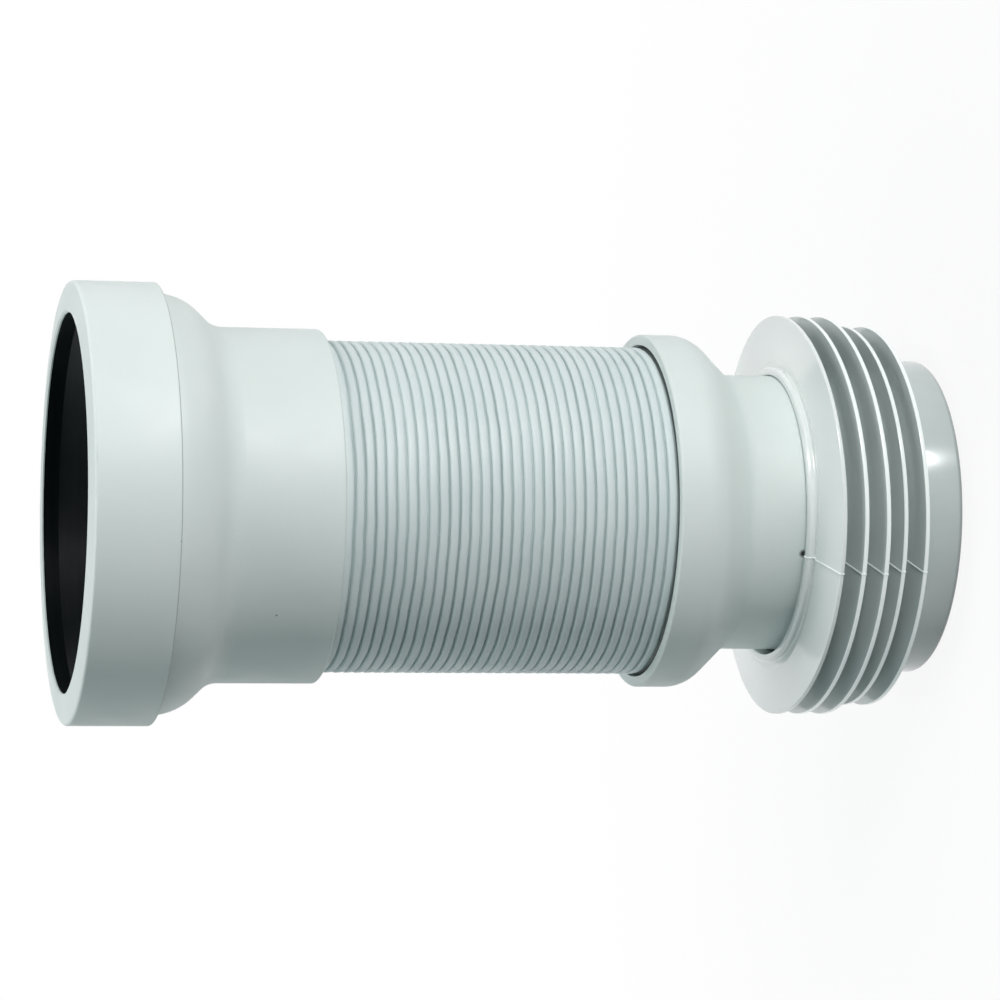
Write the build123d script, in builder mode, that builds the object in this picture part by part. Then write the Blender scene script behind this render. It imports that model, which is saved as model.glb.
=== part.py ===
from build123d import *
import math
import os

# Flexible connector from a toilet pan to a soil pipe. It stands on the nose of its finned seal, mouth up.
# The Z axis runs down the middle of the waterway, heights go up from the floor, and sizes are in millimetres.

# Fits between the pieces
seat_clearance = 0.2        # around the hose's cuffs, the clipped flange and the bell
sleeve_clearance = 0.1      # between the soft sleeve and the neck that stretches it

# Finned seal: a soft sleeve with a nose, five fins and a lip
nose_diameter = 93.6
nose_wall = 2.4
nose_round = 1.6
stop_height = 10.0          # from the floor to the inward flange that the neck rests on
stop_thickness = 2.4
lowest_fin_height = 15.3
fin_pitch = 6.6
small_fin_count = 2
large_fin_count = 3
small_fin_diameter = 113.6
large_fin_diameter = 119.0
fin_edge = 1.2
fin_root = 2.4
front_root = 2.6            # how far the top fin's face rises from its edge to its root
sleeve_wall = 3.0
lip_wall = 2.4
lip_height = 2.0
lip_gap = 0.7               # the lip's mouth stands this far off the neck
lip_gap_depth = 3.0

# Outlet spigot: the collar around the hose, a slope and the neck
neck_diameter = 81.6
neck_wall = 2.6
bare_neck_length = 13.0     # from the seal's lip to the slope
slope_angle = 44.0          # of the collar's and the shoulder's walls, from the axis
slope_wall = 2.7
collar_crown_radius = 10.5
collar_root_radius = 5.5
collar_straight = 8.8
collar_wall = 3.6
collar_rim_round = 0.6
collar_seat_depth = 11.8
collar_flare = 0.6          # the collar's mouth stands off the hose
collar_flare_depth = 4.0

# Flexible hose: closed pleats, each tucked under the next, between two plain cuffs
hose_diameter = 96.8
rib_pitch = 3.03
rib_count = 32
groove_depth = 0.7
groove_width = 0.55
pleat_depth = 4.2
cuff_wall = 1.6
cuff_edge = 0.7

# Pan socket: the barrel around the hose, a shoulder and the bell under the cap
barrel_length = 28.3
barrel_wall = 3.0
barrel_end_round = 0.6
shoulder_wall = 3.0
shoulder_crown_radius = 16.5
shoulder_root_radius = 8.0
stop_ledge = 1.0            # how far the hose's stop reaches below the shoulder
bell_wall = 3.1

# Cap ring: clips over the bell and clamps the pan seal
cap_diameter = 128.0
face_width = 9.2            # of the ring around the mouth
face_rise = 1.0             # of that ring, from its outer edge to the mouth
cap_height = 25.1
cap_wall = 1.8
cap_face = 2.6
cap_round = 0.9
cap_edge_round = 0.4        # at the seam
mouth_chamfer = 0.6
mouth_edge_height = 1.0     # of the cap's edge that covers the seal
clip_height = 3.6
clip_hook = 1.1
cap_gap = 0.2               # the seam between the cap and the shoulder

# Pan seal: a clamped bead and a lip that the pan's outlet stretches
bead_height = 6.0
bead_recess = 0.4           # behind the cap's mouth
upstand_wall = 1.2          # of the bead's inner rim, inside the cap's mouth
lip_start_depth = 3.0       # from the bead's top to the lip's inner edge
lip_diameter = 95.2
lip_tip_thickness = 1.8
lip_root_thickness = 1.6
lip_drop = 12.0
lip_land = 3.0

# Radii that several pieces share
nose_radius = nose_diameter / 2
neck_radius = neck_diameter / 2
neck_bore = neck_radius - neck_wall
hose_radius = hose_diameter / 2
hose_bore = hose_radius - pleat_depth
cuff_bore = hose_radius - cuff_wall
seat_radius = hose_radius + seat_clearance
collar_radius = seat_radius + collar_wall
barrel_radius = seat_radius + barrel_wall
cap_radius = cap_diameter / 2
mouth_radius = cap_radius - face_width
cap_bore = cap_radius - cap_wall
clip_radius = cap_bore - clip_hook
flange_radius = cap_bore - seat_clearance
bell_radius = clip_radius - seat_clearance
bell_bore = bell_radius - bell_wall
half_slope = math.radians(slope_angle / 2)
slope = math.radians(slope_angle)


def slope_rounds(drop, crown, root):
    """The two rounds of a slope, made smaller together where the slope is too short for both."""
    room = drop / math.sin(slope) / math.tan(half_slope)
    share = min(1, room / (crown + root))
    return crown * share, root * share


collar_crown, collar_root = slope_rounds(collar_radius - neck_radius, collar_crown_radius, collar_root_radius)
shoulder_crown, shoulder_root = slope_rounds(
    bell_radius - barrel_radius, shoulder_crown_radius, shoulder_root_radius
)

# Heights, stacked up from the floor
neck_end = stop_height + stop_thickness
fin_count = small_fin_count + large_fin_count
top_fin_height = lowest_fin_height + (fin_count - 1) * fin_pitch
seal_face = top_fin_height + front_root
lip_top = seal_face + lip_height
collar_root_height = lip_top + bare_neck_length + collar_root * math.tan(half_slope)
collar_crown_height = collar_root_height + (collar_radius - neck_radius) / math.tan(slope)
collar_rim = collar_crown_height + collar_crown * math.tan(half_slope) + collar_straight
collar_seat = collar_rim - collar_seat_depth
barrel_end = collar_rim + rib_count * rib_pitch
barrel_top = barrel_end + barrel_length
hose_stop = barrel_top - stop_ledge
shoulder_root_height = barrel_top + shoulder_root * math.tan(half_slope)
shoulder_crown_height = shoulder_root_height + (bell_radius - barrel_radius) / math.tan(slope)
cap_bottom = shoulder_crown_height + shoulder_crown * math.tan(half_slope) + cap_gap
mouth_height = cap_bottom + cap_height
bead_top = mouth_height - cap_face
flange_top = bead_top - bead_height
clip_top = cap_bottom + clip_height


def inner_slope(radius, crown_radius, crown_height, wall):
    """Height at which the inside of a slope, one wall behind its outside, has the given radius."""
    return crown_height + wall / math.sin(slope) - (crown_radius - radius) / math.tan(slope)


def corner_of(section, corner):
    """The vertex of a section that lies at (radius, height)."""
    return section.vertices().sort_by_distance((*corner, 0))[0]


# Cap ring
bead_bore = mouth_radius + bead_recess
upstand_radius = bead_bore + upstand_wall
upstand_top = mouth_height - mouth_edge_height
mouth_edge = (mouth_radius, mouth_height)
cap_edge = (cap_radius, mouth_height - face_rise)
seam_edge = (cap_radius, cap_bottom)
with BuildPart() as cap_ring:
    with BuildSketch(Plane.XZ) as section:
        with BuildLine():
            Polyline(
                mouth_edge,
                cap_edge,
                seam_edge,
                (clip_radius, cap_bottom),
                (clip_radius, clip_top),
                (cap_bore, clip_top),
                (cap_bore, bead_top),
                (upstand_radius + seat_clearance, bead_top),
                (upstand_radius + seat_clearance, upstand_top),
                (mouth_radius, upstand_top),
                close=True,
            )
        make_face()
        chamfer(corner_of(section, mouth_edge), mouth_chamfer)
        fillet(corner_of(section, cap_edge), cap_round)
        fillet(corner_of(section, seam_edge), cap_edge_round)
    revolve(axis=Axis.Z)

# Pan seal
lip_radius = lip_diameter / 2
lip_start = bead_top - lip_start_depth
land_top = lip_start - lip_drop
with BuildPart() as pan_seal:
    with BuildSketch(Plane.XZ):
        with BuildLine():
            Polyline(
                (bead_bore, upstand_top),
                (upstand_radius, upstand_top),
                (upstand_radius, bead_top),
                (flange_radius, bead_top),
                (flange_radius, flange_top),
                (bead_bore + lip_root_thickness, flange_top),
                (lip_radius + lip_tip_thickness, land_top - lip_land / 2),
                (lip_radius + lip_tip_thickness / 2, land_top - lip_land),
                (lip_radius, land_top - lip_land),
                (lip_radius, land_top),
                (bead_bore, lip_start),
                close=True,
            )
        make_face()
    revolve(axis=Axis.Z)

# Pan socket
crown = (bell_radius, shoulder_crown_height)
root = (barrel_radius, shoulder_root_height)
inner_crown = (bell_bore, inner_slope(bell_bore, bell_radius, shoulder_crown_height, shoulder_wall))
inner_root = (cuff_bore, inner_slope(cuff_bore, bell_radius, shoulder_crown_height, shoulder_wall))
end_edge = (barrel_radius, barrel_end)
with BuildPart() as pan_socket:
    with BuildSketch(Plane.XZ) as section:
        with BuildLine():
            Polyline(
                (seat_radius, barrel_end),
                (seat_radius, hose_stop),
                (cuff_bore, hose_stop),
                inner_root,
                inner_crown,
                (bell_bore, flange_top),
                (flange_radius, flange_top),
                (flange_radius, clip_top),
                (bell_radius, clip_top),
                crown,
                root,
                end_edge,
                close=True,
            )
        make_face()
        fillet(corner_of(section, end_edge), barrel_end_round)
        fillet(corner_of(section, crown), shoulder_crown)
        fillet(corner_of(section, root), shoulder_root)
    revolve(axis=Axis.Z)

# Flexible hose
groove_radius = hose_radius - groove_depth
pleats = []
for rib in range(rib_count):
    rib_top = barrel_end - rib * rib_pitch
    pleats.append((groove_radius, rib_top))
    pleats.append((hose_radius, rib_top - groove_width))
with BuildPart() as flexible_hose:
    with BuildSketch(Plane.XZ):
        with BuildLine():
            Polyline(
                (cuff_bore, hose_stop),
                (hose_radius, hose_stop),
                (hose_radius, barrel_end + cuff_edge),
                *pleats,
                (groove_radius, collar_rim),
                (hose_radius, collar_rim - cuff_edge),
                (hose_radius, collar_seat),
                (cuff_bore, collar_seat),
                (cuff_bore, collar_rim - pleat_depth),
                (hose_bore, collar_rim),
                (hose_bore, barrel_end),
                (cuff_bore, barrel_end + pleat_depth),
                close=True,
            )
        make_face()
    revolve(axis=Axis.Z)

# Outlet spigot
crown = (collar_radius, collar_crown_height)
root = (neck_radius, collar_root_height)
inner_crown = (cuff_bore, inner_slope(cuff_bore, collar_radius, collar_crown_height, slope_wall))
inner_root = (neck_bore, inner_slope(neck_bore, collar_radius, collar_crown_height, slope_wall))
rim_edge = (collar_radius, collar_rim)
with BuildPart() as outlet_spigot:
    with BuildSketch(Plane.XZ) as section:
        with BuildLine():
            Polyline(
                (seat_radius + collar_flare, collar_rim),
                rim_edge,
                crown,
                root,
                (neck_radius, neck_end),
                (neck_bore, neck_end),
                inner_root,
                inner_crown,
                (cuff_bore, collar_seat),
                (seat_radius, collar_seat),
                (seat_radius, collar_rim - collar_flare_depth),
                close=True,
            )
        make_face()
        fillet(corner_of(section, rim_edge), collar_rim_round)
        fillet(corner_of(section, crown), collar_crown)
        fillet(corner_of(section, root), collar_root)
    revolve(axis=Axis.Z)

# Finned seal
sleeve_bore = neck_radius + sleeve_clearance
sleeve_radius = sleeve_bore + sleeve_wall
fins = []
for fin in reversed(range(fin_count)):
    middle = lowest_fin_height + fin * fin_pitch
    fin_radius = (small_fin_diameter if fin < small_fin_count else large_fin_diameter) / 2
    top_root = (sleeve_radius, middle + fin_root / 2)
    low_root = (sleeve_radius, middle - fin_root / 2)
    if fin == fin_count - 1:
        top_root = (sleeve_bore + lip_wall, seal_face)
    if fin == 0:
        low_root = (nose_radius, middle - fin_root / 2)
    fins += [top_root, (fin_radius, middle + fin_edge / 2), (fin_radius, middle - fin_edge / 2), low_root]
nose_edge = (nose_radius, 0)
with BuildPart() as finned_seal:
    with BuildSketch(Plane.XZ) as section:
        with BuildLine():
            Polyline(
                (sleeve_bore + lip_gap, lip_top),
                (sleeve_bore + lip_wall, lip_top),
                *fins,
                nose_edge,
                (nose_radius - nose_wall, 0),
                (nose_radius - nose_wall, stop_height),
                (neck_bore, stop_height),
                (neck_bore, neck_end),
                (sleeve_bore, neck_end),
                (sleeve_bore, lip_top - lip_gap_depth),
                close=True,
            )
        make_face()
        fillet(corner_of(section, nose_edge), nose_round)
    revolve(axis=Axis.Z)

pieces = {
    "cap_ring": cap_ring,
    "pan_seal": pan_seal,
    "pan_socket": pan_socket,
    "flexible_hose": flexible_hose,
    "outlet_spigot": outlet_spigot,
    "finned_seal": finned_seal,
}
os.makedirs("parts", exist_ok=True)
for name, piece in pieces.items():
    piece.part.label = name
    export_step(piece.part, f"parts/{name}.step")

print("lip land from", round(land_top - lip_land, 3), "to", round(land_top, 3), "radius", lip_radius)
print("mouth", round(mouth_height, 3), "collar rim", round(collar_rim, 3), "barrel end", round(barrel_end, 3))
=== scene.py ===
# %% [markdown]
# A flexible pan connector joins a toilet pan to the soil pipe. It is three white mouldings, a pleated
# hose, a soft seal with fins and a black rubber seal in its mouth. The measured solids come in first
# and stay where they are. This lesson then gives each of them the surface that the real one has.

# %% Load the measured part
import math

import bpy
from mathutils import Matrix, Vector


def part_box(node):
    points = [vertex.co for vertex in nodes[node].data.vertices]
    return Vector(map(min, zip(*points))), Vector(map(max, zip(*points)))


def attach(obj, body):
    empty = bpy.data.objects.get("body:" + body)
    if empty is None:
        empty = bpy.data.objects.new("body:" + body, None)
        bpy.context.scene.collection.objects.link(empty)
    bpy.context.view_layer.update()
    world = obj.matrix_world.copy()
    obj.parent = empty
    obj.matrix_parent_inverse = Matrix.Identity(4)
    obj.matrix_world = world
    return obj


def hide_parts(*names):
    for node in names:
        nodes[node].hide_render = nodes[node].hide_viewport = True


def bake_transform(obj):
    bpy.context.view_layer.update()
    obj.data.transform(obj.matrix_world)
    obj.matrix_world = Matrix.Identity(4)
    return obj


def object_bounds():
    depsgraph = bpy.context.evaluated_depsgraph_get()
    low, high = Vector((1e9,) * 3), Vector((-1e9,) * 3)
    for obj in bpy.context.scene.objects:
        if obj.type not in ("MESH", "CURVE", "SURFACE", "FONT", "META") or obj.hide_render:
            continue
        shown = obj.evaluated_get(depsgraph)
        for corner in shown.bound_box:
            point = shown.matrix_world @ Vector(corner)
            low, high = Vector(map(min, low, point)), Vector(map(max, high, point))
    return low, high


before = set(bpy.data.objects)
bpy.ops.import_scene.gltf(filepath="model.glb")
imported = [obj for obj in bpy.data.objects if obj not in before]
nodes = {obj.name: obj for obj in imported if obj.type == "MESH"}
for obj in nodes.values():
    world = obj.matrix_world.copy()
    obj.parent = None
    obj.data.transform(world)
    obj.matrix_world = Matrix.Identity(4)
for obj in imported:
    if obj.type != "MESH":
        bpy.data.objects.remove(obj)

cad_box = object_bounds()
scene = bpy.context.scene
scene.view_settings.view_transform = "Standard"
print("nodes", sorted(nodes), "box", [tuple(round(c, 4) for c in corner) for corner in cad_box])

# %% [markdown]
# Every finish and every node tree below is built from the same small steps: add a node, then give each
# input either a plain value or a link. A few helpers keep those steps short, so that a tree reads like
# a recipe. Sizes are written in millimetres and turned into metres, which is the unit of the solids.

# %% Helpers for node trees
MM = 0.001


def add(tree, kind, values=None, **settings):
    """Add a node, set its properties, and link or set its inputs by name or number."""
    made = tree.nodes.new(kind)
    for name, value in settings.items():
        setattr(made, name, value)
    for key, value in (values or {}).items():
        if isinstance(value, bpy.types.NodeSocket):
            tree.links.new(value, made.inputs[key])
        else:
            made.inputs[key].default_value = value
    return made


def calc(tree, operation, *values):
    """One Math node, as a socket."""
    return add(tree, "ShaderNodeMath", dict(enumerate(values)), operation=operation).outputs[0]


def noise(tree, vector, scale, detail=2.0):
    """A noise that stays mostly between 0.35 and 0.65, as a socket."""
    made = add(tree, "ShaderNodeTexNoise", {"Vector": vector, "Scale": scale, "Detail": detail})
    return made.outputs["Fac"]


def spread(tree, value, low, high, floor=0.35, ceiling=0.65):
    """Map a value from its usual range, floor to ceiling, to the range low to high."""
    values = {"Value": value, "From Min": floor, "From Max": ceiling, "To Min": low, "To Max": high}
    return add(tree, "ShaderNodeMapRange", values).outputs["Result"]


def blend_colours(tree, factor, first, second):
    """Mix two colours, given as RGB triples or sockets."""
    ends = [c if isinstance(c, bpy.types.NodeSocket) else (*c, 1.0) for c in (first, second)]
    values = {0: factor, 6: ends[0], 7: ends[1]}
    return add(tree, "ShaderNodeMix", values, data_type="RGBA").outputs[2]


def new_finish(name):
    """A material with its Principled shader and the piece's own coordinates."""
    finish = bpy.data.materials.new(name)
    finish.use_nodes = True
    tree = finish.node_tree
    place = add(tree, "ShaderNodeTexCoord").outputs["Object"]
    return finish, tree, tree.nodes["Principled BSDF"], place


def set_bump(tree, shader, height, strength, depth, over=None):
    """Drive the shader's normal with a height, depth being its full travel in metres, over another bump."""
    bump = add(tree, "ShaderNodeBump", {"Height": height, "Strength": strength, "Distance": depth})
    if over:
        tree.links.new(over, bump.inputs["Normal"])
    tree.links.new(bump.outputs["Normal"], shader.inputs["Normal"])


# %% [markdown]
# The white mouldings are injection-moulded plastic with a satin skin. Up close the skin is not one flat
# tone: it has soft clouds from the melt, a shine that comes and goes, and a fine grain from the mould.
# Noises of different sizes give those, all on the piece's own coordinates so that they stay put in
# every view. A nick at the cap's seam and a speck on the barrel are spots of dirt; a third spot is
# painted shade on the neck, where the soft seal's lip leaves a dark notch. Each is found by its
# distance from a point. Painted shade lies in the seam too: a thin dark line at one height.

# %% Satin white moulding
NICK = (-10.1, -63.2, 231.4)
NICK_RADIUS = 0.55
SPECK = (-30.7, -41.4, 201.1)
SPECK_RADIUS = 0.45
# A spot of painted shade where the soft seal's lip leaves a dark notch.
NOTCH_SHADE = (-11.8, -39.05, 46.2)
NOTCH_SHADE_RADIUS = 1.5
SPOT_CORE = 0.4
# The seam's dark line is painted shade; the nick and the speck are dirt.
CAP_SEAM = 231.36
SEAM_FULL = 0.15
SEAM_GONE = 0.45
SEAM_SHADE = 0.75
WHITE_TONES = ((0.755, 0.820, 0.799), (0.789, 0.850, 0.829))
DIRT_AND_SHADE = (0.30, 0.34, 0.34)
# The colour of painted shade.
PAINTED_SHADE = (0.03, 0.035, 0.035)
WAVES_TO_GRAIN = 1.6


def spot(tree, place, middle, radius):
    """1 inside a small round spot, falling to 0 at its radius."""
    point = tuple(c * MM for c in middle)
    gone = add(tree, "ShaderNodeVectorMath", {0: place, 1: point}, operation="DISTANCE").outputs["Value"]
    return spread(tree, gone, 1.0, 0.0, SPOT_CORE * radius * MM, radius * MM)


def satin_white():
    """Clouded white with a fine grain, painted shade in the seam and three spots: two of dirt, one of
    painted shade.
    """
    finish, tree, shader, place = new_finish("satin_white_moulding")
    clouds = spread(tree, noise(tree, place, scale=24.0, detail=3.0), 0.0, 1.0)
    skin = blend_colours(tree, clouds, *WHITE_TONES)
    height = add(tree, "ShaderNodeSeparateXYZ", {0: place}).outputs["Z"]
    # Painted shade: a thin dark line at the cap's seam, under the cap's edge.
    off_seam = calc(tree, "ABSOLUTE", calc(tree, "SUBTRACT", height, CAP_SEAM * MM))
    seam_shade = spread(tree, off_seam, SEAM_SHADE, 0.0, SEAM_FULL * MM, SEAM_GONE * MM)
    nick = spot(tree, place, NICK, NICK_RADIUS)
    speck = spot(tree, place, SPECK, SPECK_RADIUS)
    # Dirt of the nick and the speck, together with the seam's painted shade.
    dirt_and_seam_shade = calc(tree, "MAXIMUM", calc(tree, "MAXIMUM", nick, speck), seam_shade)
    marked = blend_colours(tree, dirt_and_seam_shade, skin, DIRT_AND_SHADE)
    # Painted shade on the neck at the soft seal's notch.
    colour = blend_colours(tree, spot(tree, place, NOTCH_SHADE, NOTCH_SHADE_RADIUS), marked, PAINTED_SHADE)
    tree.links.new(colour, shader.inputs["Base Color"])
    tree.links.new(spread(tree, noise(tree, place, scale=65.0), 0.44, 0.56), shader.inputs["Roughness"])
    grain = noise(tree, place, scale=1500.0, detail=3.0)
    relief = calc(tree, "MULTIPLY_ADD", noise(tree, place, scale=55.0), WAVES_TO_GRAIN, grain)
    set_bump(tree, shader, relief, strength=0.22, depth=0.04 * MM)
    return finish


white = satin_white()
for name in ("cap_ring", "pan_socket", "outlet_spigot"):
    nodes[name].data.materials.clear()
    nodes[name].data.materials.append(white)
print("satin white on cap_ring, pan_socket and outlet_spigot")

# %% [markdown]
# The seal in the mouth is black rubber. It is nearly lightless, so what shows is its sheen: a smooth
# lip, with fine drag marks around it from the mould. The marks are a noise squeezed along the axis,
# which makes rings.

# %% Black rubber
RING_SQUEEZE = (12.0, 12.0, 900.0)
RUBBER_TONES = ((0.003, 0.005, 0.006), (0.008, 0.011, 0.012))
RUBBER_SHEEN = 0.07


def black_rubber():
    """Nearly black, with faint rings and little sheen."""
    finish, tree, shader, place = new_finish("black_rubber")
    squeezed = add(tree, "ShaderNodeMapping", {"Vector": place, "Scale": RING_SQUEEZE}).outputs["Vector"]
    rings = noise(tree, squeezed, scale=1.0)
    colour = blend_colours(tree, rings, *RUBBER_TONES)
    tree.links.new(colour, shader.inputs["Base Color"])
    tree.links.new(spread(tree, noise(tree, place, scale=120.0), 0.34, 0.46), shader.inputs["Roughness"])
    shader.inputs["Specular IOR Level"].default_value = RUBBER_SHEEN
    set_bump(tree, shader, rings, strength=0.15, depth=0.02 * MM)
    return finish


nodes["pan_seal"].data.materials.clear()
nodes["pan_seal"].data.materials.append(black_rubber())
print("black rubber on pan_seal")

# %% [markdown]
# The hose is thinner plastic, a little bluer than the mouldings, and its folds hold dust and painted
# shade. The mesh below stores how deep each point lies in a fold, under the name fold, and the finish
# reads it. A noise that is squeezed along the axis makes the dust and shade uneven from groove to
# groove. Where the hose goes into the collar or the barrel, the stored number rises above 1, and the
# finish paints shade there, dark as in a deep gap.

# %% Hose plastic
GROOVE_SQUEEZE = (9.0, 9.0, 260.0)
GAP_FOLD = 2.0
HOSE_TONES = ((0.690, 0.772, 0.770), (0.735, 0.808, 0.806))
# Dust and painted shade in the folds share one tone.
DUST_AND_SHADE_TONE = (0.45, 0.53, 0.53)


def attribute(tree, name):
    """A stored number of the mesh, as a socket."""
    return add(tree, "ShaderNodeAttribute", attribute_name=name).outputs["Fac"]


def hose_plastic():
    """Clouded blue-white with dust and painted shade in the folds, and painted shade in the gaps at the
    seats.
    """
    finish, tree, shader, place = new_finish("hose_plastic")
    clouds = spread(tree, noise(tree, place, scale=40.0, detail=3.0), 0.0, 1.0)
    skin = blend_colours(tree, clouds, *HOSE_TONES)
    squeezed = add(tree, "ShaderNodeMapping", {"Vector": place, "Scale": GROOVE_SQUEEZE}).outputs["Vector"]
    # Dust and painted shade in the folds, deeper folds darker, uneven from groove to groove.
    patchiness = spread(tree, noise(tree, squeezed, scale=1.0), 0.45, 1.0)
    in_fold = calc(tree, "MULTIPLY", attribute(tree, "fold"), patchiness)
    dusted_and_shaded = blend_colours(tree, in_fold, skin, DUST_AND_SHADE_TONE)
    # Painted shade in the gap where the hose goes into the collar or the barrel.
    gap_shade = spread(tree, attribute(tree, "fold"), 0.0, 1.0, 1.0, GAP_FOLD)
    colour = blend_colours(tree, gap_shade, dusted_and_shaded, PAINTED_SHADE)
    tree.links.new(colour, shader.inputs["Base Color"])
    tree.links.new(spread(tree, noise(tree, place, scale=90.0), 0.42, 0.56), shader.inputs["Roughness"])
    grain = noise(tree, place, scale=1100.0, detail=3.0)
    set_bump(tree, shader, grain, strength=0.15, depth=0.04 * MM)
    return finish


hose_finish = hose_plastic()
print("finish", hose_finish.name)

# %% [markdown]
# The soft seal is glossy and slightly see-through, so its thin rims look paler than its flanks. Light
# could be traced through the plastic, but that is slow and softens the rims. Instead light is painted:
# the mesh stores how much of it each face gets, and the finish makes such faces paler and lets the
# rims glow weakly, as if light came through. Painted shade darkens the lip at the notch of the mould's
# parting line, and the rounded edge of the nose. The real nose catches a lamp that stood where the floor
# is here, so a bump that rises steadily leans the nose's shading up to the side lamp.

# %% Soft seal
NOSE_TOP = 14.0
NOSE_LEAN = 0.203
SEAL_TONES = ((0.550, 0.620, 0.612), (0.595, 0.662, 0.654))
# The tone of painted light on the seal's rims, disc face, flash and, less, its flanks.
PAINTED_LIGHT_TONE = (0.91, 0.945, 0.93)
RIM_LIGHT = (0.90, 1.0, 0.98, 1.0)
RIM_GLOW = 0.12
GLOW_FROM = 0.9
# The tone of painted shade on the nose's rounded edge.
NOSE_EDGE_SHADE_TONE = (0.20, 0.25, 0.25)
EDGE_SHADE = 0.6
EDGE_FULL = 0.8
EDGE_GONE = 1.6


def soft_seal():
    """Glossy grey-white with painted light and a painted glow on the rims, painted shade on the nose edge
    and at the notch, and a lean on the nose.
    """
    finish, tree, shader, place = new_finish("soft_seal")
    clouds = spread(tree, noise(tree, place, scale=45.0, detail=3.0), 0.0, 1.0)
    skin = blend_colours(tree, clouds, *SEAL_TONES)
    # Painted light: paler where the mesh stores more of it.
    painted_light_colour = blend_colours(tree, attribute(tree, "painted_light"), skin, PAINTED_LIGHT_TONE)
    height = add(tree, "ShaderNodeSeparateXYZ", {0: place}).outputs["Z"]
    # Painted shade on the rounded edge of the nose.
    nose_edge_shade = spread(tree, height, EDGE_SHADE, 0.0, EDGE_FULL * MM, EDGE_GONE * MM)
    nose_edge_shaded = blend_colours(tree, nose_edge_shade, painted_light_colour, NOSE_EDGE_SHADE_TONE)
    # Painted shade at the lip's notch.
    colour = blend_colours(tree, spot(tree, place, NOTCH_SHADE, NOTCH_SHADE_RADIUS), nose_edge_shaded, PAINTED_SHADE)
    tree.links.new(colour, shader.inputs["Base Color"])
    tree.links.new(spread(tree, noise(tree, place, scale=70.0), 0.12, 0.20), shader.inputs["Roughness"])
    # A painted glow on the rims and the flash, though they are no lamp.
    glow = spread(tree, attribute(tree, "painted_light"), 0.0, RIM_GLOW, GLOW_FROM, 1.0)
    tree.links.new(glow, shader.inputs["Emission Strength"])
    shader.inputs["Emission Color"].default_value = RIM_LIGHT
    shader.inputs["Specular IOR Level"].default_value = 0.8
    shader.inputs["Coat Weight"].default_value = 0.7
    shader.inputs["Coat Roughness"].default_value = 0.10
    on_nose = calc(tree, "MULTIPLY", calc(tree, "MINIMUM", height, NOSE_TOP * MM), -NOSE_LEAN)
    rising = {"Height": on_nose, "Strength": 1.0, "Distance": 1.0}
    lean = add(tree, "ShaderNodeBump", rising).outputs["Normal"]
    waves = noise(tree, place, scale=85.0)
    set_bump(tree, shader, waves, strength=0.25, depth=0.10 * MM, over=lean)
    return finish


seal_finish = soft_seal()
print("finish", seal_finish.name)

# %% [markdown]
# Round pieces start as a section: a closed outline of half the cut piece. A node tree sweeps it around
# a circle. In a sweep, the section's X runs outwards from the circle and its Y runs down the axis, so a
# height is written as minus Y. The helpers here make trees with named inputs, lines, turns and a tree's
# last steps.

# %% Helpers for turned pieces
SOCKETS = {int: "NodeSocketInt", float: "NodeSocketFloat", "material": "NodeSocketMaterial"}


def new_tree(name, inputs):
    """A geometry tree with named inputs: the tree, its input sockets by name and its output node."""
    tree = bpy.data.node_groups.new(name, "GeometryNodeTree")
    tree.interface.new_socket(name="Geometry", in_out="INPUT", socket_type="NodeSocketGeometry")
    for title, kind in inputs.items():
        tree.interface.new_socket(name=title, in_out="INPUT", socket_type=SOCKETS[kind])
    tree.interface.new_socket(name="Geometry", in_out="OUTPUT", socket_type="NodeSocketGeometry")
    given = tree.nodes.new("NodeGroupInput")
    result = tree.nodes.new("NodeGroupOutput")
    return tree, {socket.name: socket for socket in given.outputs if socket.name}, result


def xyz(tree, x=0.0, y=0.0, z=0.0):
    """A vector from three numbers or sockets."""
    return add(tree, "ShaderNodeCombineXYZ", {"X": x, "Y": y, "Z": z}).outputs[0]


def position(tree):
    """The X, Y and Z of each point, as sockets."""
    here = add(tree, "GeometryNodeInputPosition").outputs[0]
    return add(tree, "ShaderNodeSeparateXYZ", {0: here}).outputs


def line(tree, start, end):
    """A straight line of the section, from (x, y) to (x, y)."""
    values = {"Count": 2, "Start Location": xyz(tree, *start), "Offset": xyz(tree, *end)}
    return add(tree, "GeometryNodeMeshLine", values, mode="END_POINTS").outputs[0]


def join(tree, pieces):
    """Several geometries as one."""
    joined = add(tree, "GeometryNodeJoinGeometry")
    for piece in pieces:
        tree.links.new(piece, joined.inputs[0])
    return joined.outputs[0]


def store(tree, geometry, name, value, domain="POINT"):
    """Keep a number with each point or face, for the finish to read."""
    values = {"Geometry": geometry, "Name": name, "Value": value}
    return add(tree, "GeometryNodeStoreNamedAttribute", values, domain=domain).outputs[0]


def turn(tree, section, radius, segments):
    """Sweep a section around the axis."""
    circle = add(tree, "GeometryNodeCurvePrimitiveCircle", {"Radius": radius, "Resolution": segments})
    values = {"Curve": circle.outputs[0], "Profile Curve": section}
    return add(tree, "GeometryNodeCurveToMesh", values).outputs[0]


def end_tree(tree, result, geometry, material):
    """Smooth shading, real copies and the finish, as the last steps of every tree."""
    smooth = add(tree, "GeometryNodeSetShadeSmooth", {"Geometry": geometry}).outputs[0]
    real = add(tree, "GeometryNodeRealizeInstances", {"Geometry": smooth}).outputs[0]
    painted = add(tree, "GeometryNodeSetMaterial", {"Geometry": real, "Material": material}).outputs[0]
    tree.links.new(painted, result.inputs[0])


# %% [markdown]
# A tree only makes a preview. To keep its result, the piece is evaluated once and copied as a plain
# mesh. The sign of the mesh's volume then tells which way its faces point, and they are flipped if they
# point inwards.

# %% From a tree to a plain mesh


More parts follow.
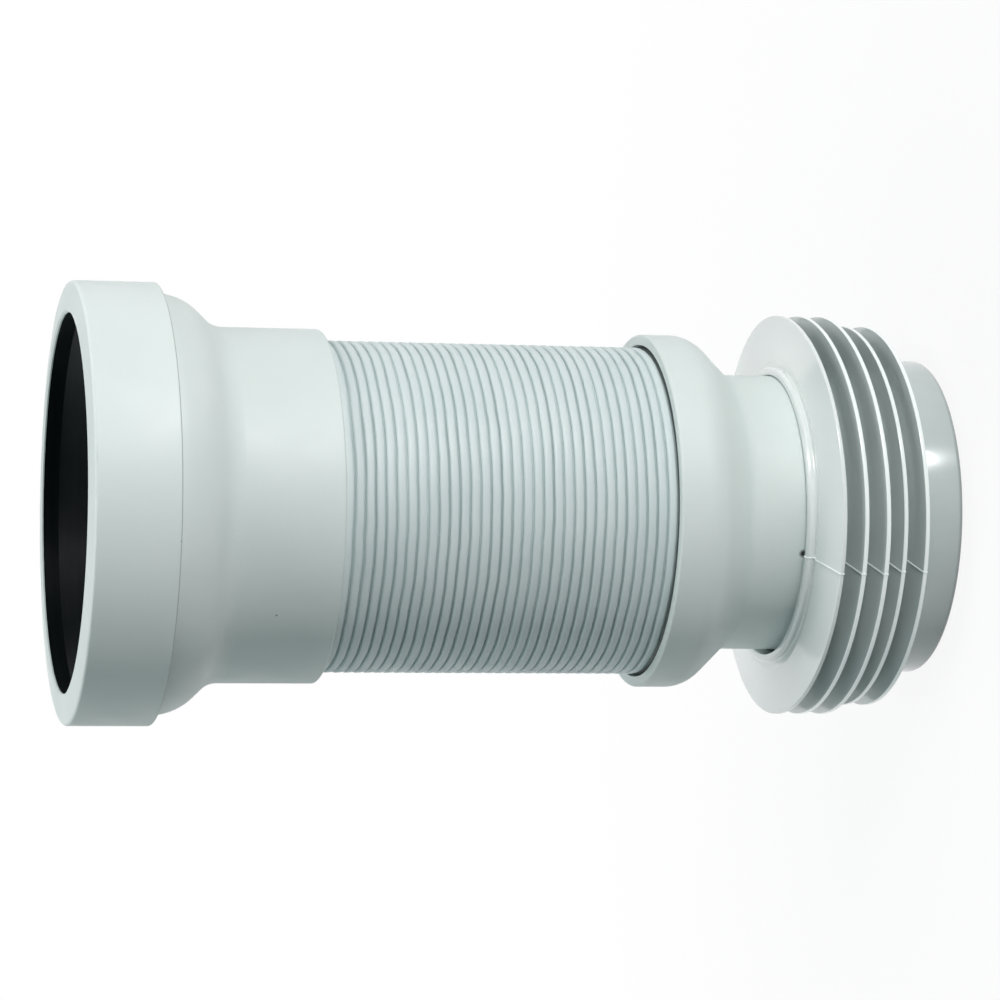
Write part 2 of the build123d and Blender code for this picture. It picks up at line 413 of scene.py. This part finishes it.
def outward(mesh):
    """Turn a closed mesh's faces outwards if its volume comes out negative."""
    mesh.calc_loop_triangles()
    points = [vertex.co for vertex in mesh.vertices]
    corners = [[points[i] for i in triangle.vertices] for triangle in mesh.loop_triangles]
    if sum(a.dot(b.cross(c)) for a, b, c in corners) < 0:
        mesh.flip_normals()


def make_piece(name, tree, values, outline=None):
    """Run a tree on an outline and keep the result as a plain mesh."""
    piece = bpy.data.objects.new(name, outline or bpy.data.meshes.new(name))
    scene.collection.objects.link(piece)
    modifier = piece.modifiers.new(tree.name, "NODES")
    modifier.node_group = tree
    for item in tree.interface.items_tree:
        if item.in_out == "INPUT" and item.name in values:
            modifier[item.identifier] = values[item.name]
    graph = bpy.context.evaluated_depsgraph_get()
    mesh = bpy.data.meshes.new_from_object(
        piece.evaluated_get(graph), preserve_all_data_layers=True, depsgraph=graph
    )
    piece.modifiers.clear()
    piece.data = mesh
    mesh.name = name
    outward(mesh)
    print(name, "triangles", sum(len(face.vertices) - 2 for face in mesh.polygons))
    return piece


# %% [markdown]
# The hose is one thin wall folded into pleats, pushed together as it leaves the box: flat ribs with
# narrow grooves between them. Each rib rises sharply on the mouth's side and rounds off softly towards
# the next groove. It could be modelled by hand, rib after rib, but one pleat repeated by a tree keeps
# its sizes as inputs.

# %% Tree of the pleated hose: one pleat
hose_inputs = {
    "Start": float, "Direction": float, "Pleats": int, "Pitch": float, "Crest radius": float,
    "Groove depth": float, "Sharp side": float, "Soft side": float, "Droop": float, "Fold depth": float,
    "Bore groove": float, "Cuff length": float, "Cuff wall": float, "Cuff edge": float, "Steps": int,
    "Segments": int, "Waver": float, "Waver scale": float, "Material": "material",
}
hose_tree, sizes, hose_result = new_tree("pleated hose", hose_inputs)
GATHER = 0.85


def negative(socket):
    """A size with its sign turned."""
    return calc(hose_tree, "MULTIPLY", socket, -1.0)


def pleat_points(phase):
    """Points along one pleat, gathered at its ends: their share of the pitch and their way to a groove."""
    index = add(hose_tree, "GeometryNodeInputIndex").outputs[0]
    share = calc(hose_tree, "DIVIDE", index, sizes["Steps"])
    wave = calc(hose_tree, "SINE", calc(hose_tree, "MULTIPLY", share, 2 * math.pi))
    along = calc(hose_tree, "MULTIPLY_ADD", wave, -GATHER / (2 * math.pi), share)
    off_groove = calc(hose_tree, "PINGPONG", calc(hose_tree, "ADD", along, phase), 0.5)
    return along, calc(hose_tree, "MULTIPLY", off_groove, sizes["Pitch"])


def groove(distance, width):
    """1 in the middle of a groove, falling to 0 beside it."""
    squared = calc(hose_tree, "POWER", calc(hose_tree, "DIVIDE", distance, width), 2.0)
    return calc(hose_tree, "EXPONENT", negative(squared))


def outer_pleat():
    """The outside of one pleat: radius from the crest, place along the pitch and depth in the fold."""
    along, distance = pleat_points(0.0)
    off_middle = calc(hose_tree, "SUBTRACT", along, 0.5)
    from_mouth = calc(hose_tree, "MULTIPLY_ADD", off_middle, negative(sizes["Direction"]), 0.5)
    softer = calc(hose_tree, "SUBTRACT", sizes["Soft side"], sizes["Sharp side"])
    fold = groove(distance, calc(hose_tree, "MULTIPLY_ADD", from_mouth, softer, sizes["Sharp side"]))
    droop = calc(hose_tree, "MULTIPLY", calc(hose_tree, "POWER", from_mouth, 2.0), sizes["Droop"])
    open_droop = calc(hose_tree, "MULTIPLY", droop, calc(hose_tree, "SUBTRACT", 1.0, fold))
    depth = calc(hose_tree, "MULTIPLY_ADD", fold, sizes["Groove depth"], open_droop)
    return negative(depth), along, fold


def inner_pleat():
    """The bore side, with shallow grooves of its own half a pleat away from the outer ones."""
    along, distance = pleat_points(0.5)
    fold = groove(distance, sizes["Soft side"])
    opened = calc(hose_tree, "MULTIPLY", fold, sizes["Bore groove"])
    return calc(hose_tree, "SUBTRACT", opened, sizes["Fold depth"]), along, 0.0


def pleat_row(x, along, fold):
    """All the pleats of one side of the wall."""
    count = calc(hose_tree, "ADD", sizes["Steps"], 1.0)
    blank = add(hose_tree, "GeometryNodeMeshLine", {"Count": count, "Offset": (0.0, 0.0, 0.0)}).outputs[0]
    place = xyz(hose_tree, x, calc(hose_tree, "MULTIPLY", along, sizes["Pitch"]))
    shaped = add(hose_tree, "GeometryNodeSetPosition", {"Geometry": blank, "Position": place}).outputs[0]
    kept = store(hose_tree, shaped, "fold", fold)
    step = xyz(hose_tree, 0.0, sizes["Pitch"])
    places = add(hose_tree, "GeometryNodeMeshLine", {"Count": sizes["Pleats"], "Offset": step}).outputs[0]
    copies = add(hose_tree, "GeometryNodeInstanceOnPoints", {"Points": places, "Instance": kept}).outputs[0]
    return add(hose_tree, "GeometryNodeRealizeInstances", {"Geometry": copies}).outputs[0]


rows = [pleat_row(*outer_pleat()), pleat_row(*inner_pleat())]
print("pleats from", len(hose_tree.nodes), "nodes")

# %% [markdown]
# The rows of pleats are closed by a plain cuff at one end, which sits in the collar or the barrel, and
# by a flat cut at the other. The outline is then turned around the axis. A noise moves each groove a
# little along the axis, because no two folds close the same way.

# %% Tree of the pleated hose: cuff, turn and waver
MERGE = 0.002
groove_floor = negative(sizes["Groove depth"])
bore = negative(sizes["Fold depth"])
cuff_bore = negative(sizes["Cuff wall"])
cuff_end = negative(sizes["Cuff length"])
pleats_end = calc(hose_tree, "MULTIPLY", sizes["Pleats"], sizes["Pitch"])
corners = [
    (groove_floor, 0.0), (0.0, negative(sizes["Cuff edge"])), (0.0, cuff_end), (cuff_bore, cuff_end),
    (cuff_bore, bore), (bore, 0.0),
]
lines = [line(hose_tree, a, b) for a, b in zip(corners, corners[1:])]
lines.append(line(hose_tree, (groove_floor, pleats_end), (bore, pleats_end)))
# The seats get a fold number above 1, which the finish paints as shade.
in_seat = store(hose_tree, join(hose_tree, lines[:2]), "fold", GAP_FOLD)
outline = join(hose_tree, rows + lines[2:] + [in_seat])
merging = {"Geometry": outline, "Distance": MERGE * MM}
whole = add(hose_tree, "GeometryNodeMergeByDistance", merging).outputs[0]
loop = add(hose_tree, "GeometryNodeMeshToCurve", {0: whole}).outputs[0]
out, along, _ = position(hose_tree)
height = calc(hose_tree, "MULTIPLY_ADD", along, sizes["Direction"], sizes["Start"])
placed = {"Geometry": loop, "Position": xyz(hose_tree, out, negative(height))}
section = add(hose_tree, "GeometryNodeSetPosition", placed).outputs[0]
tube = turn(hose_tree, section, sizes["Crest radius"], sizes["Segments"])
here = add(hose_tree, "GeometryNodeInputPosition").outputs[0]
uneven = spread(hose_tree, noise(hose_tree, here, sizes["Waver scale"]), -1.0, 1.0)
shift = xyz(hose_tree, 0.0, 0.0, calc(hose_tree, "MULTIPLY", uneven, sizes["Waver"]))
wavering = add(hose_tree, "GeometryNodeSetPosition", {"Geometry": tube, "Offset": shift}).outputs[0]
end_tree(hose_tree, hose_result, wavering, sizes["Material"])
print("hose tree", len(hose_tree.nodes), "nodes")

# %% [markdown]
# The hose comes in two lengths, because the lower third bends and the rest stretches. They take their
# ends from the solids: the collar's rim and the barrel's end.

# %% Hose
PITCH = 3.03
PLEATS = 32
BENDING_PLEATS = 10
collar_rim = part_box("outlet_spigot")[1].z
barrel_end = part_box("pan_socket")[0].z
hose_low, hose_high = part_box("flexible_hose")
hose_sizes = {
    "Pitch": PITCH * MM, "Crest radius": hose_high.x, "Groove depth": 1.15 * MM, "Sharp side": 0.20 * MM,
    "Soft side": 0.50 * MM, "Droop": 0.20 * MM, "Fold depth": 4.2 * MM, "Bore groove": 0.8 * MM,
    "Cuff wall": 1.6 * MM, "Cuff edge": 0.7 * MM, "Steps": 12, "Segments": 144, "Waver": 0.14 * MM,
    "Waver scale": 60.0, "Material": hose_finish,
}
lower = {
    "Start": collar_rim, "Direction": 1.0, "Pleats": BENDING_PLEATS, "Cuff length": collar_rim - hose_low.z,
}
upper = {
    "Start": barrel_end, "Direction": -1.0, "Pleats": PLEATS - BENDING_PLEATS,
    "Cuff length": hose_high.z - barrel_end,
}
bending_hose = make_piece("bending_hose", hose_tree, {**hose_sizes, **lower})
stretching_hose = make_piece("stretching_hose", hose_tree, {**hose_sizes, **upper})
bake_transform(bending_hose)
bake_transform(stretching_hose)
for piece in (bending_hose, stretching_hose):
    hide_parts("flexible_hose")

# %% [markdown]
# The soft seal is moulded in one piece: a sleeve over the neck, a lip, a front disc, four more fins and
# the nose. Soft plastic never stays flat, so all the fins take the same slight saddle and dish and lie
# a little tilted, and the whole seal hangs to one side of the neck. Each fin could be bent by hand, but
# one rule bends them all: it grows away from the sleeve and fades out where the nose stands.

# %% Sizes and bend of the soft seal
FIN_PITCH = 6.6
FIN_EDGE = 1.2
FIN_ROOT = 2.4
TOP_FIN = 41.7
LOWEST_FIN = 15.3
seal_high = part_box("finned_seal")[1]
LARGE_FIN = seal_high.x / MM
SMALL_FIN = 56.8
SLEEVE = 43.9
SLEEVE_BORE = 40.9
LIP = 43.3
SEAL_FACE = 44.3
LIP_TOP = seal_high.z / MM
OVERREACH = 1.2
SADDLE_LOW = 0.6
SADDLE_RISE = 0.4
TILT_LOW = 1.5
bend_inputs = {"Saddle": float, "Dish": float, "Tilt": float, "Nod": float, "Lean": float}
bend_sizes = {
    "Saddle": 1.0 * MM, "Dish": 0.5 * MM, "Tilt": 1.3 * MM, "Nod": 1.1 * MM, "Lean": -0.65 * MM,
}


def limited(tree, value, high=1.0):
    """A value kept between 0 and a limit."""
    return add(tree, "ShaderNodeClamp", {"Value": value, "Max": high}).outputs[0]


def flex(tree, geometry, given):
    """Bend the discs into a low saddle and dish, tilt them, and shift the whole seal to one side."""
    x, y, z = position(tree)
    xx = calc(tree, "MULTIPLY", x, x)
    yy = calc(tree, "MULTIPLY", y, y)
    rr = calc(tree, "ADD", xx, yy)
    radius = calc(tree, "SQRT", rr)
    reach = (LARGE_FIN - SLEEVE) * MM
    past_sleeve = calc(tree, "SUBTRACT", radius, SLEEVE * MM)
    out = limited(tree, calc(tree, "DIVIDE", past_sleeve, reach), OVERREACH)
    free = limited(tree, calc(tree, "DIVIDE", z, LOWEST_FIN * MM))
    share = calc(tree, "MULTIPLY", calc(tree, "POWER", out, 2.0), free)
    height = calc(tree, "DIVIDE", z, TOP_FIN * MM)
    two_lobes = calc(tree, "DIVIDE", calc(tree, "SUBTRACT", xx, yy), rr)
    rising = calc(tree, "MULTIPLY_ADD", height, SADDLE_RISE, SADDLE_LOW)
    saddle = calc(tree, "MULTIPLY", given["Saddle"], rising)
    tilt = calc(tree, "MULTIPLY", given["Tilt"], calc(tree, "SUBTRACT", TILT_LOW, height))
    nodding = calc(tree, "MULTIPLY_ADD", calc(tree, "DIVIDE", y, radius), given["Nod"], given["Dish"])
    tilted = calc(tree, "MULTIPLY_ADD", calc(tree, "DIVIDE", x, radius), tilt, nodding)
    lift = calc(tree, "MULTIPLY", calc(tree, "MULTIPLY_ADD", two_lobes, saddle, tilted), share)
    offset = xyz(tree, given["Lean"], 0.0, lift)
    return add(tree, "GeometryNodeSetPosition", {"Geometry": geometry, "Offset": offset}).outputs[0]


print("soft seal", round(LARGE_FIN, 3), "mm in radius, lip at", round(LIP_TOP, 3), "mm")

# %% [markdown]
# A mould in two halves leaves a thin ridge of flash where its halves met, on both sides of the piece.
# The ridge is the same section, pushed out a little and swept along a very short arc. On the nose none
# shows, so there the section is sunk by as much instead.

# %% Flash of the mould
FLASH_HEIGHT = 0.20
FLASH_WIDTH = 0.34
FLASH_PAINTED_LIGHT = 1.0
FLASH_STEPS = 3
CAMERA_SIDE = -90.0
FLASH_TURN = 16.3
FLASH_AZIMUTH = math.radians(CAMERA_SIDE - FLASH_TURN)


def flash(tree, section, radius, lowest):
    """Two thin ridges on opposite sides, along the outline of a section, sunk in it below a height, with
    full painted light.
    """
    along = add(tree, "GeometryNodeInputTangent").outputs[0]
    sideways = {0: along, 1: (0.0, 0.0, 1.0)}
    out = add(tree, "ShaderNodeVectorMath", sideways, operation="CROSS_PRODUCT").outputs[0]
    above = calc(tree, "LESS_THAN", position(tree)["Y"], -lowest * MM)
    rise = {0: out, "Scale": spread(tree, above, -FLASH_HEIGHT * MM, FLASH_HEIGHT * MM, 0.0, 1.0)}
    push = add(tree, "ShaderNodeVectorMath", rise, operation="SCALE").outputs[0]
    raised = add(tree, "GeometryNodeSetPosition", {"Geometry": section, "Offset": push}).outputs[0]
    ridges = []
    width = FLASH_WIDTH / LARGE_FIN
    for start in (FLASH_AZIMUTH, FLASH_AZIMUTH + math.pi):
        arc = {
            "Resolution": FLASH_STEPS, "Radius": radius,
            "Start Angle": start - width / 2, "Sweep Angle": width,
        }
        rail = add(tree, "GeometryNodeCurveArc", arc, mode="RADIUS").outputs[0]
        swept = {"Curve": rail, "Profile Curve": raised, "Fill Caps": True}
        ridges.append(add(tree, "GeometryNodeCurveToMesh", swept).outputs[0])
    # The flash gets full painted light, so it shows as a pale line.
    return store(tree, join(tree, ridges), "painted_light", FLASH_PAINTED_LIGHT, "FACE")


# %% [markdown]
# The sleeve, lip, front disc and nose never repeat, so their outline is a short list of corners, each
# with the radius that rounds it. A mesh of plain edges carries the corners, and keeps the radius with
# each of them.

# %% Outline of the sleeve
NOSE = 46.8
NOSE_BORE = 44.4
STOP = (10.0, 12.4)
NECK_BORE = 38.2
LIP_GAP = 0.9
GAP_DEPTH = 1.0
BEAD = 0.9
BEAD_HEIGHT = 1.2
VALLEY_OUT = 0.1
VALLEY_DEPTH = 0.7
FACE_OUT = 2.9
FACE_DEPTH = 0.3
sleeve_corners = [
    (SLEEVE_BORE + LIP_GAP, LIP_TOP, 0.5),
    (LIP + BEAD, LIP_TOP, 0.9),
    (LIP + BEAD, LIP_TOP - BEAD_HEIGHT, 0.5),
    (LIP + VALLEY_OUT, SEAL_FACE - VALLEY_DEPTH, 0.4),
    (LIP + FACE_OUT, SEAL_FACE - FACE_DEPTH, 0.9),
    (LARGE_FIN, TOP_FIN + FIN_EDGE / 2, 0.25),
    (LARGE_FIN, TOP_FIN - FIN_EDGE / 2, 0.25),
    (SLEEVE, TOP_FIN - FIN_ROOT / 2, 0.8),
    (SLEEVE, LOWEST_FIN, 0.0),
    (NOSE, LOWEST_FIN, 0.0),
    (NOSE, LOWEST_FIN - FIN_ROOT, 0.0),
    (NOSE, 0.0, 1.6),
    (NOSE_BORE, 0.0, 0.5),
    (NOSE_BORE, STOP[0], 0.6),
    (NECK_BORE, STOP[0], 0.5),
    (NECK_BORE, STOP[1], 0.2),
    (SLEEVE_BORE, STOP[1], 0.2),
    (SLEEVE_BORE, SEAL_FACE - GAP_DEPTH, 0.5),
]


def outline_mesh(name, corners, radius):
    """A closed outline around a circle's radius, with the rounding of each corner stored as round."""
    mesh = bpy.data.meshes.new(name)
    points = [((r - radius) * MM, -z * MM, 0.0) for r, z, _ in corners]
    edges = [(i, (i + 1) % len(points)) for i in range(len(points))]
    mesh.from_pydata(points, edges, [])
    rounds = mesh.attributes.new("round", "FLOAT", "POINT")
    rounds.data.foreach_set("value", [r * MM for _, _, r in corners])
    return mesh


sleeve_outline = outline_mesh("sleeve_outline", sleeve_corners, SLEEVE)
print("sleeve outline", len(sleeve_corners), "corners")

# %% [markdown]
# The tree rounds the corners, turns the outline and bends the disc. The faces above the disc's middle
# lie in full light and look paler than the flanks of the fins, so light is painted on them, nearly as on a
# rim.

# %% Sleeve of the soft seal
SEGMENTS = 192
DISC_PAINTED_LIGHT = 0.89
ROUND_STEPS = 6
FLASH_CLEAR = 1.0


def round_corners(tree, curve, radius):
    """Round every corner of an outline, each by its own radius."""
    values = {"Curve": curve, "Count": ROUND_STEPS, "Radius": radius, "Limit Radius": True}
    return add(tree, "GeometryNodeFilletCurve", values, mode="POLY").outputs[0]


sleeve_inputs = {"Radius": float, "Segments": int, **bend_inputs, "Material": "material"}
sleeve_tree, given, sleeve_result = new_tree("seal sleeve", sleeve_inputs)
curve = add(sleeve_tree, "GeometryNodeMeshToCurve", {0: given["Geometry"]}).outputs[0]
rounding = add(sleeve_tree, "GeometryNodeInputNamedAttribute", {"Name": "round"}).outputs[0]
rounded = round_corners(sleeve_tree, curve, rounding)
plain_body = turn(sleeve_tree, rounded, given["Radius"], given["Segments"])
# Painted light on the faces above the disc's middle.
in_light = calc(sleeve_tree, "GREATER_THAN", position(sleeve_tree)["Z"], TOP_FIN * MM)
painted_light_share = calc(sleeve_tree, "MULTIPLY", in_light, DISC_PAINTED_LIGHT)
body = store(sleeve_tree, plain_body, "painted_light", painted_light_share, "FACE")
ridges = flash(sleeve_tree, rounded, given["Radius"], LOWEST_FIN + FLASH_CLEAR)
ridged = join(sleeve_tree, [body, ridges])
end_tree(sleeve_tree, sleeve_result, flex(sleeve_tree, ridged, given), given["Material"])
sleeve_values = {"Radius": SLEEVE * MM, "Segments": SEGMENTS, **bend_sizes, "Material": seal_finish}
seal_sleeve = make_piece("seal_sleeve", sleeve_tree, sleeve_values, sleeve_outline)

# %% [markdown]
# The four other fins are one ring, repeated down the sleeve by the tree. Two are large and two are
# small, so each copy is scaled by its number. The ring's root lies inside the sleeve's wall. Its rim
# is stored for full painted light, which the finish paints paler, and its flanks for a little.

# %% Tree of the fins
fin_inputs = {
    "Count": int, "Large count": int, "First height": float, "Pitch": float, "Root radius": float,
    "Reach": float, "Root thickness": float, "Edge thickness": float, "Small share": float, "Segments": int,
    **bend_inputs, "Material": "material",
}
fin_tree, fin, fin_result = new_tree("seal fins", fin_inputs)
RIM_SHARE = 0.97
RIM_ROUND = 0.4
FLANK_PAINTED_LIGHT = 0.40


def half(socket, share=1.0):
    """Half of a size, or a share of that half."""
    return calc(fin_tree, "MULTIPLY", socket, share / 2)


fin_points = {
    "Point 1": xyz(fin_tree, 0.0, half(fin["Root thickness"], -1.0)),
    "Point 2": xyz(fin_tree, fin["Reach"], half(fin["Edge thickness"], -1.0)),
    "Point 3": xyz(fin_tree, fin["Reach"], half(fin["Edge thickness"])),
    "Point 4": xyz(fin_tree, 0.0, half(fin["Root thickness"])),
}
flat_fin = add(fin_tree, "GeometryNodeCurvePrimitiveQuadrilateral", fin_points, mode="POINTS").outputs[0]
round_fin = round_corners(fin_tree, flat_fin, half(fin["Edge thickness"], RIM_ROUND))
plain_ring = turn(fin_tree, round_fin, fin["Root radius"], fin["Segments"])
here = add(fin_tree, "GeometryNodeInputPosition").outputs[0]
flattened = {0: here, 1: (1.0, 1.0, 0.0)}
flat_here = add(fin_tree, "ShaderNodeVectorMath", flattened, operation="MULTIPLY").outputs[0]
out = add(fin_tree, "ShaderNodeVectorMath", {0: flat_here}, operation="LENGTH").outputs["Value"]
reached = calc(fin_tree, "DIVIDE", calc(fin_tree, "SUBTRACT", out, fin["Root radius"]), fin["Reach"])
is_rim = calc(fin_tree, "GREATER_THAN", reached, RIM_SHARE)
# Painted light: full on the rim, a little on the flanks.
ring = store(fin_tree, plain_ring, "painted_light", spread(fin_tree, is_rim, FLANK_PAINTED_LIGHT, 1.0, 0.0, 1.0), "FACE")
ridged_ring = join(fin_tree, [ring, flash(fin_tree, round_fin, fin["Root radius"], -FIN_PITCH)])
down = {
    "Count": fin["Count"], "Start Location": xyz(fin_tree, 0.0, 0.0, fin["First height"]),
    "Offset": xyz(fin_tree, 0.0, 0.0, calc(fin_tree, "MULTIPLY", fin["Pitch"], -1.0)),
}
places = add(fin_tree, "GeometryNodeMeshLine", down).outputs[0]
number = add(fin_tree, "GeometryNodeInputIndex").outputs[0]
is_small = calc(fin_tree, "GREATER_THAN", number, calc(fin_tree, "SUBTRACT", fin["Large count"], 0.5))
size = calc(fin_tree, "MULTIPLY_ADD", is_small, calc(fin_tree, "SUBTRACT", fin["Small share"], 1.0), 1.0)
spots = {"Points": places, "Instance": ridged_ring, "Scale": xyz(fin_tree, size, size, 1.0)}
copies = add(fin_tree, "GeometryNodeInstanceOnPoints", spots).outputs[0]
rings = add(fin_tree, "GeometryNodeRealizeInstances", {"Geometry": copies}).outputs[0]
end_tree(fin_tree, fin_result, flex(fin_tree, rings, fin), fin["Material"])
print("fin tree", len(fin_tree.nodes), "nodes")

# %% [markdown]
# The tree now gets its sizes. Its first fin lies one pitch under the front disc, and every root starts
# half a millimetre inside the sleeve, so that no gap shows. Sleeve and fins are one moulding on the
# real piece, so both ride on the outlet and stand for the same solid.

# %% Fins of the soft seal
ROOT_DEPTH = 0.5
ROOT = SLEEVE - ROOT_DEPTH
fin_values = {
    "Count": 4, "Large count": 2, "First height": (TOP_FIN - FIN_PITCH) * MM, "Pitch": FIN_PITCH * MM,
    "Root radius": ROOT * MM, "Reach": (LARGE_FIN - ROOT) * MM, "Root thickness": FIN_ROOT * MM,
    "Edge thickness": FIN_EDGE * MM, "Small share": SMALL_FIN / LARGE_FIN, "Segments": SEGMENTS,
    **bend_sizes, "Material": seal_finish,
}
seal_fins = make_piece("seal_fins", fin_tree, fin_values)
for piece in (seal_sleeve, seal_fins):
    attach(piece, "outlet_end")
    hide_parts("finned_seal")

# %% [markdown]
# The floor is a plain pale sheet. To the camera it glows by itself, so that the background is white as
# in a cut-out. Close to the piece a part of its light comes from the lamps instead, and there the
# shadow of the piece stays. For light that bounces it is darker, because the real piece lay far from
# anything white on this side.

# %% Floor
FLOOR_HALF = 12.0
FLOOR_BOUNCE = 0.45
FLOOR_SEEN = 0.95
WHITE_SHARE = 0.90
SHADOW_NEAR = 0.09
SHADOW_GONE = 0.42


def seen_directly(tree):
    """1 for what the camera, a mirror or glass sees, 0 for light that only bounces."""
    rays = add(tree, "ShaderNodeLightPath").outputs
    seen = calc(tree, "MAXIMUM", rays["Is Camera Ray"], rays["Is Glossy Ray"])
    return calc(tree, "MAXIMUM", seen, rays["Is Transmission Ray"])


floor_mesh = bpy.data.meshes.new("floor")
floor_corners = [(x * FLOOR_HALF, y * FLOOR_HALF, 0.0) for x, y in ((-1, -1), (1, -1), (1, 1), (-1, 1))]
floor_mesh.from_pydata(floor_corners, [], [(0, 1, 2, 3)])
floor = bpy.data.objects.new("floor", floor_mesh)
scene.collection.objects.link(floor)
floor_finish = bpy.data.materials.new("studio_floor")
floor_finish.use_nodes = True
floor_tree = floor_finish.node_tree
floor_tree.nodes.remove(floor_tree.nodes["Principled BSDF"])
seen = seen_directly(floor_tree)
tone = spread(floor_tree, seen, FLOOR_BOUNCE, FLOOR_SEEN, 0.0, 1.0)
matt = add(floor_tree, "ShaderNodeBsdfDiffuse", {"Color": tone}).outputs[0]
glow = add(floor_tree, "ShaderNodeEmission", {"Strength": 1.0}).outputs[0]
on_floor = add(floor_tree, "ShaderNodeTexCoord").outputs["Object"]
away = add(floor_tree, "ShaderNodeVectorMath", {0: on_floor}, operation="LENGTH").outputs["Value"]
white_share = spread(floor_tree, away, WHITE_SHARE, 1.0, SHADOW_NEAR, SHADOW_GONE)
share = calc(floor_tree, "MULTIPLY", seen, white_share)
mixed = add(floor_tree, "ShaderNodeMixShader", {0: share, 1: matt, 2: glow}).outputs[0]
floor_tree.links.new(mixed, floor_tree.nodes["Material Output"].inputs["Surface"])
floor_mesh.materials.append(floor_finish)
print("floor", 2 * FLOOR_HALF, "m wide, shadow gone at", SHADOW_GONE, "m")

# %% [markdown]
# The light is a plain studio: a tall soft box to one side, which models the round pieces, one above the
# mouth, one overhead, and a weak cool one for the light that a white table throws back. One more stands
# behind, so that the far side isn't dark. It is hidden from reflections, because it would glare in
# every face that is seen at a low angle. Each lamp is given by where it stands around the piece and by
# the brightness that it gives a white card that faces it.

# %% Lamps
MIDDLE = Vector((0.0, 0.0, (cad_box[0].z + cad_box[1].z) / 2))


def soft_box(name, turn_deg, lift_deg, distance, width, tall, level, colour=(1.0, 1.0, 1.0)):
    """A rectangular lamp that faces the middle of the piece. Turn 0 is the camera's side, 90 is +X."""
    around, up = math.radians(turn_deg), math.radians(lift_deg)
    towards = Vector((math.sin(around) * math.cos(up), -math.cos(around) * math.cos(up), math.sin(up)))
    lamp = bpy.data.lights.new(name, "AREA")
    lamp.shape = "RECTANGLE"
    lamp.size = width
    lamp.size_y = tall
    lamp.energy = level * (math.pi * distance) ** 2
    lamp.color = colour
    holder = bpy.data.objects.new(name, lamp)
    holder.location = MIDDLE + towards * distance
    holder.rotation_mode = "QUATERNION"
    holder.rotation_quaternion = towards.to_track_quat("Z", "Y")
    scene.collection.objects.link(holder)
    return holder


COOL = (0.76, 1.0, 1.01)
soft_box("side_box", turn_deg=42.0, lift_deg=3.0, distance=2.0, width=0.28, tall=0.40, level=0.60)
soft_box("mouth_box", turn_deg=60.0, lift_deg=65.0, distance=1.6, width=0.8, tall=0.8, level=0.34)
soft_box("top_box", turn_deg=-120.0, lift_deg=76.0, distance=1.6, width=0.6, tall=0.6, level=0.23)
soft_box(
    "table_box", turn_deg=-105.0, lift_deg=30.0, distance=1.4, width=0.8, tall=0.8, level=0.10, colour=COOL
)
back_box = soft_box(
    "back_box", turn_deg=185.0, lift_deg=4.0, distance=2.0, width=0.6, tall=0.4, level=0.52
)
back_box.visible_glossy = False
print("lamps", [lamp.name for lamp in bpy.data.lights])

# %% [markdown]
# A little light comes from all around, slightly cool. What a glossy surface mirrors is white behind the
# piece and on its table side, and dark towards the camera, as in a room where only the table and the
# backdrop are lit.

# %% Surroundings
AMBIENT = 0.140
ROOM = 0.10
BACKDROP = 1.0
TABLE_SIDE = -0.5
WHITE_FROM = -0.35
WHITE_FULL = 0.25
world = bpy.data.worlds.new("studio")
scene.world = world
world.use_nodes = True
sky = world.node_tree
rays = add(sky, "ShaderNodeLightPath").outputs
mirrored = calc(sky, "MAXIMUM", rays["Is Glossy Ray"], rays["Is Transmission Ray"])
sight = add(sky, "ShaderNodeTexCoord").outputs["Generated"]
towards = add(sky, "ShaderNodeSeparateXYZ", {0: sight}).outputs
to_white = calc(sky, "MULTIPLY_ADD", towards["X"], TABLE_SIDE, towards["Y"])
backdrop = spread(sky, to_white, ROOM, BACKDROP, WHITE_FROM, WHITE_FULL)
unseen = spread(sky, mirrored, AMBIENT, backdrop, 0.0, 1.0)
strength = calc(sky, "MAXIMUM", unseen, rays["Is Camera Ray"])
plain = calc(sky, "MAXIMUM", mirrored, rays["Is Camera Ray"])
sky.links.new(strength, sky.nodes["Background"].inputs["Strength"])
sky.links.new(blend_colours(sky, plain, COOL, (1.0, 1.0, 1.0)), sky.nodes["Background"].inputs["Color"])
print("light from all around", AMBIENT)

# %% [markdown]
# The camera stands where the picture was taken: a little above the mouth's side, looking across the
# piece with its own up turned to +X, so that the standing piece lies across the picture. A long lens
# keeps the ends alike.

# %% Camera
CAMERA_PLACE = Vector((0.0, -1164.5, 400.7)) * MM
CAMERA_AIM = Vector((2.6, 0.0, 127.5)) * MM
LENS = 146.24
SENSOR = 36.0
ROLL = math.radians(0.8)
camera_data = bpy.data.cameras.new("camera")
camera_data.sensor_width = SENSOR
camera_data.lens = LENS
camera = bpy.data.objects.new("camera", camera_data)
scene.collection.objects.link(camera)
scene.camera = camera
back = (CAMERA_PLACE - CAMERA_AIM).normalized()
nose_way = Vector((0.0, 0.0, -1.0))
level_right = (nose_way - back * back.dot(nose_way)).normalized()
level_up = back.cross(level_right)
right = level_right * math.cos(ROLL) + level_up * math.sin(ROLL)
up = back.cross(right)
camera.matrix_world = Matrix.Translation(CAMERA_PLACE) @ Matrix((right, up, back)).transposed().to_4x4()
print("camera", round((CAMERA_PLACE - CAMERA_AIM).length, 3), "m from its aim, lens", LENS)
